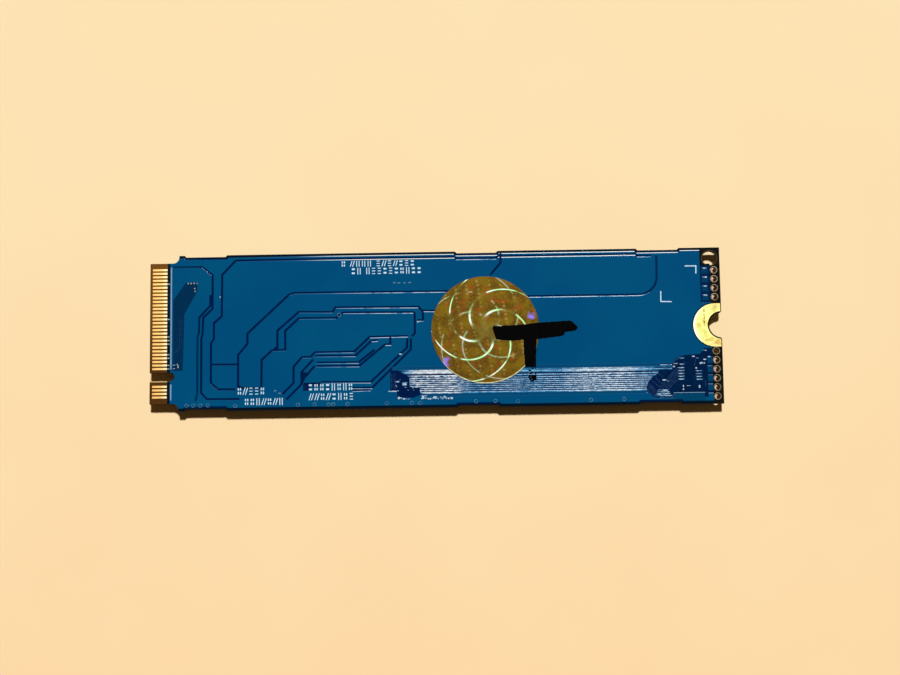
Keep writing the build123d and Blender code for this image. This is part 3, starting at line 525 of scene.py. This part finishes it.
for finish, nodes in (
    (mask_finish(), ("solder_mask_upper",)),
    (lower_mask_finish(), ("solder_mask_lower",)),
    (laminate_finish(), ("board_laminate",)),
    (foil_finish(), ("foil_sticker",)),
    (sleeve_finish(), ("test_hole_sleeves",)),
    (finger_finish(), ("edge_contacts_upper", "edge_contacts_lower")),
    (pad_finish(), ("mounting_pad_upper", "mounting_pad_lower")),
    (solder, ("controller_balls", "buffer_memory_balls", "flash_balls")),
    (moulding, ("controller_package", "buffer_memory_package")),
    (moulding, ("flash_package_inner", "flash_package_outer")),
    (black_ceramic, ("power_manager_package", "boot_memory_package", "load_switch_package")),
    (lead_frame, ("power_manager_frame", "boot_memory_frame", "load_switch_leads")),
    (tan_ceramic, ("bulk_capacitor_bodies", "decoupling_capacitor_bodies", "coupling_capacitor_bodies")),
    (black_ceramic, ("resistor_bodies", "input_fuse_body", "ferrite_bead_bodies")),
    (ferrite, ("power_inductor_bodies",)),
    (crystal_ceramic, ("crystal_base",)),
    (crystal_lid, ("crystal_lid",)),
):
    for node in nodes:
        finishes[node] = finish
for node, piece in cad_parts.items():
    piece.data.materials.clear()
    piece.data.materials.append(finishes.get(node, tin))


# Shapes of the pieces laid on the card, all in mm

def vertex(bm, x, y, z):
    """New corner of a mesh."""
    return bm.verts.new((x * MM, y * MM, z * MM))


def plate(bm, corners, low, high):
    """Closed plate over corner points."""
    lower, upper = [[vertex(bm, x, y, z) for x, y in corners] for z in (low, high)]
    count = len(corners)
    for i in range(count):
        j = (i + 1) % count
        bm.faces.new((lower[i], lower[j], upper[j], upper[i]))
    bm.faces.new(lower[::-1])
    bm.faces.new(upper)


def bar(bm, x, y, length, width, low, high, turn=0.0):
    """Bar about a centre, turned by an angle in degrees, with clipped corners."""
    a, b = length / 2, width / 2
    clip = min(length, width) * 0.2
    shape = [
        (-a + clip, -b), (a - clip, -b), (a, -b + clip), (a, b - clip),
        (a - clip, b), (-a + clip, b), (-a, b - clip), (-a, -b + clip),
    ]
    cos, sin = math.cos(math.radians(turn)), math.sin(math.radians(turn))
    plate(bm, [(x + u * cos - v * sin, y + u * sin + v * cos) for u, v in shape], low, high)


def trace(bm, points, width, low, high):
    """Strip of even width along points, closed, with mitred corners."""
    sharpest_mitre = 0.3
    sections = []
    for i, point in enumerate(points):
        here = Vector(point)
        before = (here - Vector(points[i - 1])).normalized() if i else None
        after = (Vector(points[i + 1]) - here).normalized() if i + 1 < len(points) else None
        along = ((before or after) + (after or before)).normalized()
        across = Vector((-along.y, along.x))
        reach = width / 2 / max(sharpest_mitre, along.dot(before or after))
        left, right = here + across * reach, here - across * reach
        corners = ((right, low), (left, low), (left, high), (right, high))
        sections.append([vertex(bm, side.x, side.y, z) for side, z in corners])
    for one, two in zip(sections, sections[1:]):
        for k in range(4):
            bm.faces.new((one[k], one[k - 1], two[k - 1], two[k]))
    bm.faces.new(sections[0])
    bm.faces.new(sections[-1][::-1])


def ring(bm, x, y, inner, outer, low, high, sides=18):
    """Washer about a centre, a little narrower at the top."""
    outer_slope, inner_slope = 0.03, 0.02
    turns = [2 * math.pi * i / sides for i in range(sides)]
    loops = []
    for radius, z in ((inner, low), (outer, low), (outer - outer_slope, high), (inner + inner_slope, high)):
        loops.append([vertex(bm, x + radius * math.cos(t), y + radius * math.sin(t), z) for t in turns])
    for one, two in zip(loops, loops[1:] + loops[:1]):
        for i in range(sides):
            j = (i + 1) % sides
            bm.faces.new((one[i], one[j], two[j], two[i]))


def add_object(name, data):
    """New object in the scene."""
    thing = bpy.data.objects.new(name, data)
    bpy.context.scene.collection.objects.link(thing)
    return thing


def piece_from(name, bm, material):
    """Turns a mesh into a piece that rides on the card."""
    bmesh.ops.recalc_face_normals(bm, faces=bm.faces)
    mesh = bpy.data.meshes.new(name)
    bm.to_mesh(mesh)
    bm.free()
    mesh.materials.append(material)
    piece = add_object(name, mesh)
    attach(piece, BODY)
    return piece


# Print

def tick_strokes(kind, height):
    """Strokes of one plain tick about its middle: aside, up, length, width, turn."""
    if kind == "pair":
        return [(aside, 0.0, PRINT_STROKE, height, 0.0) for aside in (-0.17, 0.17)]
    if kind == "steps":
        return [(0.0, up * height, 0.46, PRINT_STROKE, 0.0) for up in (-0.4, 0.0, 0.4)]
    if kind == "lean":
        return [(aside, 0.0, PRINT_STROKE, height, -18.0) for aside in (-0.15, 0.19)]
    if kind == "stack":
        return [(0.0, up * height, 0.44, height * 0.26, 0.0) for up in (0.3, -0.3)]
    corners = ((-1, -1), (-1, 1), (1, -1), (1, 1))
    return [(u * 0.15, v * height * 0.26, 0.17, height * 0.34, 0.0) for u, v in corners]


def print_marks():
    """Corner marks, and rows of plain ticks where the card carries its print."""
    bm = bmesh.new()
    low, high = MASK_TOP, MASK_TOP + PRINT_HEIGHT
    corner_stroke = 0.15
    trace(bm, [(35.1, 8.42), (36.67, 8.4), (36.63, 7.32)], corner_stroke, low, high)
    trace(bm, [(31.65, 4.9), (31.62, 3.43), (33.12, 3.38)], corner_stroke, low, high)
    draw = random.Random(7)
    rows = (
        (-12.8, -2.5, 9.48, 0.86), (-11.4, -2.0, 8.42, 0.95),
        (-27.4, -23.7, -8.3, 1.05), (-26.4, -20.8, -9.8, 1.0),
        (-17.5, -11.6, -7.9, 1.0), (-17.4, -11.6, -9.23, 1.0),
    )
    for start, end, y, height in rows:
        x = start
        while x < end:
            kind = draw.choice(("pair", "steps", "grid", "lean", "stack"))
            for aside, up, length, width, turn in tick_strokes(kind, height):
                bar(bm, x + aside, y + up, length, width, low, high, turn)
            x += PRINT_STEP if draw.random() < 0.9 else PRINT_SPACE
    finish = film_finish("pale_print", (166, 206, 230), (218, 240, 252), 7.0, 0.5, 0.005)
    piece_from("print_marks", bm, finish)


def contact_line():
    """Pale line behind the contacts, broken at the key notch."""
    bm = bmesh.new()
    x, width = -37.0, 0.19
    for start, end in ((9.35, -5.05), (-7.2, -9.45)):
        trace(bm, [(x, start), (x, end)], width, MASK_FLOOR, MASK_TOP + PRINT_HEIGHT)
    finish = film_finish("pale_line", (92, 134, 170), (122, 158, 190), 3.0, 0.5, 0.005)
    piece_from("contact_line", bm, finish)


# Vias and fine traces

def vias():
    """Tented vias, each a ring of mask standing over the copper and painted pale as its highlight, and a few
    short dashes like them.
    """
    along_edge = (
        (-34.79, -10.21), (-33.85, -10.21), (-32.86, -10.22), (-31.8, -10.21), (-28.01, -10.33),
        (-19.26, -10.33), (-16.94, -10.31), (-14.99, -10.34), (-14.33, -10.35), (-12.33, -10.33),
        (-6.87, -10.3), (-3.4, -10.3), (-2.21, -10.32), (5.56, -10.2), (8.26, -10.2), (11.38, -10.3),
        (21.53, -10.25), (26.12, -10.18),
    )
    alone = (-13.45, 2.24)
    dashes = ((-5.66, 6.7), (-5.0, 6.66), (-4.2, 6.65), (-3.5, 6.68), (-22.4, -8.3), (-21.8, -8.66))
    bm = bmesh.new()
    low, ring_top, dash_top = MASK_TOP - 0.004, MASK_TOP + 0.012, MASK_TOP + 0.008
    ring_width = 0.1
    for places, radius in ((along_edge, 0.29), ((alone,), 0.3)):
        for x, y in places:
            ring(bm, x, y, radius - ring_width, radius, low, ring_top)
    for x, y in dashes:
        bar(bm, x, y, 0.4, 0.16, low, dash_top)
    # Partly painted highlight: the rings and dashes are paler than the mask over copper
    finish = film_finish("via_rings", (36, 94, 134), (92, 136, 158), 3.0, 0.35, 0.02, gloss=0.2)
    piece_from("via_rings", bm, finish)


def contact_traces():
    """Short traces that leave the contacts, and the dots of vias beside them."""
    bm = bmesh.new()
    low, high = MASK_FLOOR - 0.02, MASK_FLOOR + 0.006
    for row in (4, 14, 19, 20, 21, 24, 25, 27, 28):
        y = FIRST_CONTACT_Y - row * CONTACT_PITCH
        trace(bm, [(-37.56, y), (-37.2, y)], 0.14, low, high)
    y = FIRST_CONTACT_Y - 27 * CONTACT_PITCH
    next_y = y - CONTACT_PITCH
    trace(bm, [(-36.95, y), (-36.4, y + 0.03)], 0.1, low, high)
    trace(bm, [(-36.9, next_y), (-36.45, next_y + 0.03)], 0.1, low, high)
    trace(bm, [(-36.15, y + 0.18), (-36.0, y - 0.1), (-36.0, y - 0.42)], 0.16, low, high)
    for x, y in ((-34.64, 7.05), (-34.21, 7.05), (-33.8, 7.05), (-33.4, 7.04), (-33.72, 6.31), (-33.66, 5.9)):
        ring(bm, x, y, 0.01, 0.13, MASK_FLOOR - 0.005, MASK_FLOOR + 0.03, 10)
    finish = film_finish("contact_stubs", (104, 120, 122), (176, 186, 182), 5.0, 0.4, 0.01)
    piece_from("contact_traces", bm, finish)


def scattered_glints(bm, low, high):
    """Frayed rows of bits below the near end of the bus, and flat specks among its traces, painted pale as
    glints.
    """
    draw = random.Random(5)
    for start, end in ((-5.2, -3.5), (-2.0, 2.3)):
        x = start
        while x < end:
            length = draw.uniform(0.14, 0.32)
            width, turn = draw.uniform(0.14, 0.4), draw.uniform(-30, 30)
            bar(bm, x, -9.66 + draw.uniform(-0.1, 0.1), length, width, low, high, turn)
            x += length * 0.7 + draw.uniform(0.06, 0.2)
    for _ in range(18):
        x, y = draw.uniform(-5.6, -2.0), draw.uniform(-9.3, -6.6)
        length, width = draw.uniform(0.06, 0.2), draw.uniform(0.05, 0.1)
        bar(bm, x, y, length, width, MASK_FLOOR - 0.01, MASK_FLOOR + 0.01, draw.uniform(-40, 40))


def painted_trace_glints():
    """Raised bits over short traces, painted pale as glints, most of them at the ends of the bus."""
    bm = bmesh.new()
    low, high = MASK_FLOOR, MASK_TOP + 0.008
    for rows, x, first_y, length, width, turn in (
        (5, 34.2, -7.54, 0.6, 0.1, 4), (4, 36.65, FIRST_COMB_Y, 0.62, 0.09, 0),
    ):
        for row in range(rows):
            bar(bm, x, first_y + COMB_PITCH * row, length, width, low, high, turn)
    for x, y, length, width, turn in (
        (34.3, -4.62, 0.25, 0.12, 0), (34.25, -5.48, 0.35, 0.1, 0), (34.4, -8.5, 0.16, 0.3, 0),
        (34.4, -8.95, 0.16, 0.2, 0), (35.15, -8.47, 0.5, 0.07, 0), (36.65, -8.6, 0.2, 0.4, 0),
        (35.9, -4.38, 0.4, 0.16, 0), (36.45, -4.62, 0.4, 0.12, -8), (37.5, -3.53, 0.5, 0.12, -10),
        (38.1, -4.45, 0.35, 0.14, 0), (37.5, -4.82, 0.4, 0.14, 0), (36.95, -5.31, 0.45, 0.24, 15),
        (37.4, -5.32, 0.2, 0.2, 0), (36.25, -6.0, 0.22, 0.18, 0), (33.4, -5.35, 0.6, 0.1, 0),
        (33.15, -5.75, 0.34, 0.2, 0), (31.75, -7.62, 0.5, 0.14, 0), (32.25, -7.75, 0.4, 0.1, -30),
        (-6.05, -8.63, 1.2, 0.14, 0), (-4.4, -7.68, 0.6, 0.34, 20), (-4.2, -8.1, 0.3, 0.12, -20),
        (-5.4, -7.3, 0.5, 0.16, 0), (-2.33, 1.06, 0.4, 0.16, 0), (-4.9, -3.43, 0.4, 0.16, 0),
        (-30.15, 5.03, 0.22, 0.2, 0),
    ):
        bar(bm, x, y, length, width, low, high, turn)
    scattered_glints(bm, low, high)
    for y, length in ((8.06, 0.5), (6.78, 0.5), (5.51, 0.36), (4.24, 0.5)):
        bar(bm, 37.9, y, length, 0.2, low, high)
    for x, y in ((26.0, 10.05), (26.56, 10.1)):
        bar(bm, x, y, 0.4, 0.12, low, high, 10)
    # Painted highlight: pale blue-white bits stand for the glints of traces under the mask
    finish = film_finish("painted_trace_glints", (44, 98, 146), (204, 228, 246), 2.2, 0.3, 0.01)
    piece_from("painted_trace_glints", bm, finish)


def fan_traces():
    """Faint traces under the mask: from the bus to the comb at the rear, by its near end, by the contacts."""
    bm = bmesh.new()
    low, high = MASK_FLOOR - 0.01, MASK_FLOOR + 0.014
    comb_x = 33.6
    ridges = (-9.01, -8.64, -8.36, -8.08)
    for row, ridge in enumerate(ridges):
        start = (29.45 + 0.06 * row, ridge)
        level, comb_y = -9.88 + 0.26 * row, FIRST_COMB_Y + COMB_PITCH * row
        dip = (start[0] + start[1] - level, level)
        rise = (max(dip[0] + 0.05, comb_x - comb_y + level), level)
        trace(bm, [start, dip, rise, (comb_x, comb_y)], 0.1, low, high)
    for width, points in (
        (0.09, [(29.95, -7.5), (31.05, -8.6), (comb_x, -6.0)]),
        (0.09, [(30.5, -7.2), (31.5, -8.2)]),
        (0.09, [(30.95, -6.6), (31.6, -7.3)]),
        (0.1, [(33.05, -5.2), (33.5, -4.8), (34.1, -4.55)]),
        (0.1, [(37.1, -7.6), (37.5, -7.95), (37.5, -8.6)]),
        (0.08, [(36.2, -4.8), (36.0, -5.7), (36.2, -6.1)]),
    ):
        trace(bm, points, width, low, high)
    for x in (-6.2, -5.95, -5.7):
        trace(bm, [(x, -6.2), (x, -8.3)], 0.08, low, high)
    for x in (-35.55, -35.85):
        trace(bm, [(x + 0.1, 2.2), (x, -1.9), (x - 0.9, -2.85)], 0.06, low, high)
    finish = film_finish("trace_runs", (2, 40, 86), (24, 68, 114), 2.5, 0.25, 0.02, gloss=0.2)
    piece_from("fan_traces", bm, finish)


# Solder in the plated holes

def hole_solder():
    """Film of solder on one side of each plated hole, apart from the first one below the pad, painted pale
    pinkish white as a highlight.
    """
    bm = bmesh.new()
    sides, outer = 12, 0.43
    first_angle, sweep = 100, 160
    rim = [math.radians(first_angle + sweep * i / sides) for i in range(sides + 1)]
    for row in (0, 1, 2, 3, -7, -8, -9, -10, -11):
        y = FIRST_HOLE_Y + row * HOLE_PITCH
        edge, under = [
            [(HOLE_X + outer * math.cos(t), y + outer * math.sin(t), HOLE_TOP - depth) for t in rim]
            for depth in (0.02, 0.3)
        ]
        inner = [(HOLE_X - 0.09 + 0.1 * math.cos(t), y + 0.34 * math.sin(t), HOLE_TOP - 0.14) for t in rim]
        loops = [[vertex(bm, *point) for point in line] for line in (edge, inner, under)]
        for i in range(sides):
            for a, b in ((0, 1), (1, 2), (2, 0)):
                bm.faces.new((loops[a][i], loops[a][i + 1], loops[b][i + 1], loops[b][i]))
        for i in (0, sides):
            bm.faces.new([loop[i] for loop in loops])
    # Partly painted highlight: the solder takes the pale pinkish white of a highlight
    finish = speckled_finish("solder_film_highlight", (212, 170, 160), (244, 222, 214), 5.0, 0.45)
    piece_from("hole_solder", bm, finish)


# Pen mark

def card_height(x, y):
    """Height of the bare side at a point: the sticker out to just past its rim, or the mask beside it."""
    return FOIL_TOP if math.hypot(x - FOIL_X, y - FOIL_Y) < FOIL_RADIUS + 0.12 else MASK_TOP


def on_line(points, at):
    """Value of a line of points at a place along it."""
    for (a, low), (b, high) in zip(points, points[1:]):
        if a <= at <= b:
            return low + (high - low) * (at - a) / (b - a)
    return points[-1][1] if at > points[-1][0] else points[0][1]


def ink_stroke(bm, low_edge, high_edge, upright, lift=INK_LIFT, worn=False):
    """Film of ink between two edges, ragged as a felt tip leaves it and full of holes where it is worn."""
    step, across, rag = 0.1, 18, 0.07
    start, end = low_edge[0][0], low_edge[-1][0]
    count = int((end - start) / step)
    columns = []
    for i in range(count + 1):
        at = start + (end - start) * i / count
        low = on_line(low_edge, at) + rag * noise.noise((at * 2.3, 1.7, 4.0))
        high = on_line(high_edge, at) + rag * noise.noise((at * 2.1, 8.2, 2.0))
        column = []
        for k in range(across + 1):
            side = low + (high - low) * k / across
            x, y = (side, at) if upright else (at, side)
            column.append(vertex(bm, x, y, card_height(x, y) + lift))
        columns.append(column)
    for one, two in zip(columns, columns[1:]):
        for k in range(across):
            middle = (one[k].co + two[k + 1].co) / 2 / MM
            cover = 0.16 if middle.y < BUS_SPLIT_Y else -0.12
            if not worn or noise.noise((middle.x * 2.6, middle.y * 3.6, 5.0)) < cover:
                bm.faces.new((one[k], two[k], two[k + 1], one[k + 1]))
    bmesh.ops.delete(bm, geom=[v for v in bm.verts if not v.link_faces], context="VERTS")


def pen_mark():
    """Two strokes of a black felt pen over the sticker and the mask, the second broken up over the bus."""
    bm = bmesh.new()
    lower_edge = [
        (8.02, -0.1), (8.29, -0.92), (8.5, -1.57), (10.32, -1.8), (12.28, -1.72), (14.6, -1.58),
        (17.45, -1.27), (17.94, -1.14), (18.13, -0.69), (19.6, -0.49), (19.93, -0.09),
    ]
    upper_edge = [
        (8.02, 0.1), (8.12, 0.33), (8.75, 0.3), (11.96, 0.46), (14.46, 0.7), (18.75, 0.95),
        (19.23, 0.76), (19.93, 0.0),
    ]
    ink_stroke(bm, lower_edge, upper_edge, upright=False)
    left_edge = [(-5.54, 12.43), (-3.77, 12.35), (-1.3, 12.3)]
    right_edge = [(-5.54, 13.98), (-3.8, 14.04), (-1.3, 14.14)]
    ink_stroke(bm, left_edge, right_edge, upright=True, lift=OVER_INK_LIFT)
    left_edge = [(-7.5, 13.0), (-7.2, 12.92), (-6.4, 12.88), (-5.6, 12.7)]
    right_edge = [(-7.5, 13.8), (-7.2, 14.0), (-6.4, 14.0), (-5.6, 13.98)]
    ink_stroke(bm, left_edge, right_edge, upright=True, worn=True)
    finish = film_finish("pen_ink", (0, 0, 0), (4, 4, 5), 5.0, 0.8, 0.0, gloss=0.04)
    mark = piece_from("pen_mark", bm, finish)
    film = mark.modifiers.new("film", "SOLIDIFY")
    film.thickness = INK_THICKNESS * MM
    film.offset = 1.0


print_marks()
contact_line()
vias()
contact_traces()
painted_trace_glints()
fan_traces()
hole_solder()
pen_mark()


# Floor, light and camera

def floor_finish():
    """Warm pale paper, a little lighter toward the far side."""
    f = Finish("pale_paper", Roughness=0.85, Specular_IOR_Level=0.1)
    mottle = f.band(f.cloud(0.03, 4.0), 0.35, 0.65)
    far = f.mix(mottle, srgb(254, 230, 185), srgb(254, 232, 188))
    near = f.mix(mottle, srgb(253, 221, 174), srgb(254, 224, 177))
    f.colour(f.mix(f.ramp(f.y, 0.0, 1.0, low=-45.0, high=35.0), near, far))
    f.bump(f.cloud(1.2, 5.0), 0.02, 0.25)
    return f.material


def floor_piece():
    """Square floor just under the card."""
    reach, z = 1500.0 * MM, -0.02 * MM
    corners = [(-reach, -reach, z), (reach, -reach, z), (reach, reach, z), (-reach, reach, z)]
    mesh = bpy.data.meshes.new("floor")
    mesh.from_pydata(corners, [], [(0, 1, 2, 3)])
    mesh.materials.append(floor_finish())
    floor = add_object("floor", mesh)


def key_light():
    """High sun from the far side, nearly white."""
    light = bpy.data.lights.new("key", "SUN")
    light.energy = 3.3
    light.angle = math.radians(SUN_WIDTH)
    light.color = (1.0, 0.985, 0.96)
    sun = add_object("key", light)
    sun.rotation_euler = Vector(TOWARD_SUN).to_track_quat("Z", "Y").to_euler()


def dim_surroundings():
    """Faint orange light from all round."""
    world = bpy.data.worlds.new("studio")
    world.use_nodes = True
    background = world.node_tree.nodes["Background"]
    background.inputs["Color"].default_value = (1.0, 0.62, 0.24, 1.0)
    background.inputs["Strength"].default_value = 0.06
    bpy.context.scene.world = world


def photo_camera():
    """Camera that sees the card as the photo does."""
    data = bpy.data.cameras.new("photo_camera")
    data.sensor_fit = "HORIZONTAL"
    data.sensor_width = 36.0
    data.lens = CAMERA_LENS
    data.clip_start = 0.01
    camera = add_object("photo_camera", data)
    turn = Euler([math.radians(angle) for angle in CAMERA_TURN], "XYZ")
    camera.rotation_euler = turn
    camera.location = (Vector(CAMERA_TARGET) + turn.to_matrix() @ Vector((0, 0, CAMERA_DISTANCE))) * MM
    bpy.context.scene.camera = camera


floor_piece()
key_light()
dim_surroundings()
photo_camera()
bpy.context.scene.view_settings.view_transform = "Standard"
